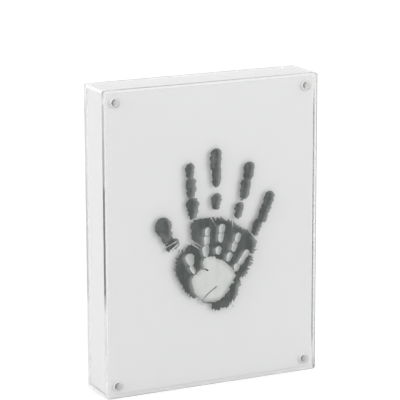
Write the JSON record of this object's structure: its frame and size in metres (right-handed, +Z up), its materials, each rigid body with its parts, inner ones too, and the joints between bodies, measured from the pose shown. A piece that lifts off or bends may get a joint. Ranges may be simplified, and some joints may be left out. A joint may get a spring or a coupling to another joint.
{
  "type": "handprint display frame",
  "caption": "Free-standing deep clear acrylic frame: magnet-held front and rear plates on a clear-walled box, white card behind, adult and baby hand prints on the front plate.",
  "frame": {"origin": "centre of the base, on the surface that the frame stands on", "axes": "+Z up; the front plate faces -Y; +X is to the right seen from the front"},
  "size_m": [0.2286, 0.0492, 0.3048],
  "materials": {
    "clear_acrylic": "polished",
    "nickel": "polished",
    "white_card": "matte",
    "white_plastic": "satin",
    "dark_paint": "satin",
    "pale_paint": "satin"
  },
  "bodies": {
    "box": {"left_wall": "clear_acrylic", "right_wall": "clear_acrylic", "top_wall": "clear_acrylic", "bottom_wall": "clear_acrylic", "card_sleeve": "white_card", "post_top_left": "white_plastic", "post_top_right": "white_plastic", "post_bottom_left": "white_plastic", "post_bottom_right": "white_plastic", "post_front_magnet_top_left": "nickel", "post_front_magnet_top_right": "nickel", "post_front_magnet_bottom_left": "nickel", "post_front_magnet_bottom_right": "nickel", "post_rear_magnet_top_left": "nickel", "post_rear_magnet_top_right": "nickel", "post_rear_magnet_bottom_left": "nickel", "post_rear_magnet_bottom_right": "nickel"},
    "front_cover": {"front_plate": "clear_acrylic", "adult_handprint": "dark_paint", "baby_handprint": "pale_paint", "front_magnet_top_left": "nickel", "front_magnet_top_right": "nickel", "front_magnet_bottom_left": "nickel", "front_magnet_bottom_right": "nickel"},
    "rear_cover": {"rear_plate": "clear_acrylic", "rear_magnet_top_left": "nickel", "rear_magnet_top_right": "nickel", "rear_magnet_bottom_left": "nickel", "rear_magnet_bottom_right": "nickel"},
    "front_backing": {"front_card": "white_card"},
    "rear_backing": {"rear_card": "white_card"}
  },
  "joints": [
    {"name": "front_cover_pull", "type": "slide", "parent": "box", "child": "front_cover", "axis": [0, -1, 0], "range_m": [0, 0.06]},
    {"name": "front_card_pull", "type": "slide", "parent": "box", "child": "front_backing", "axis": [0, -1, 0], "range_m": [0, 0.03]},
    {"name": "rear_cover_pull", "type": "slide", "parent": "box", "child": "rear_cover", "axis": [0, 1, 0], "range_m": [0, 0.06]},
    {"name": "rear_card_pull", "type": "slide", "parent": "box", "child": "rear_backing", "axis": [0, 1, 0], "range_m": [0, 0.03]}
  ],
  "couplings": [
    {"joint": "front_card_pull", "follows": "front_cover_pull", "ratio": 0.5},
    {"joint": "rear_card_pull", "follows": "rear_cover_pull", "ratio": 0.5}
  ]
}
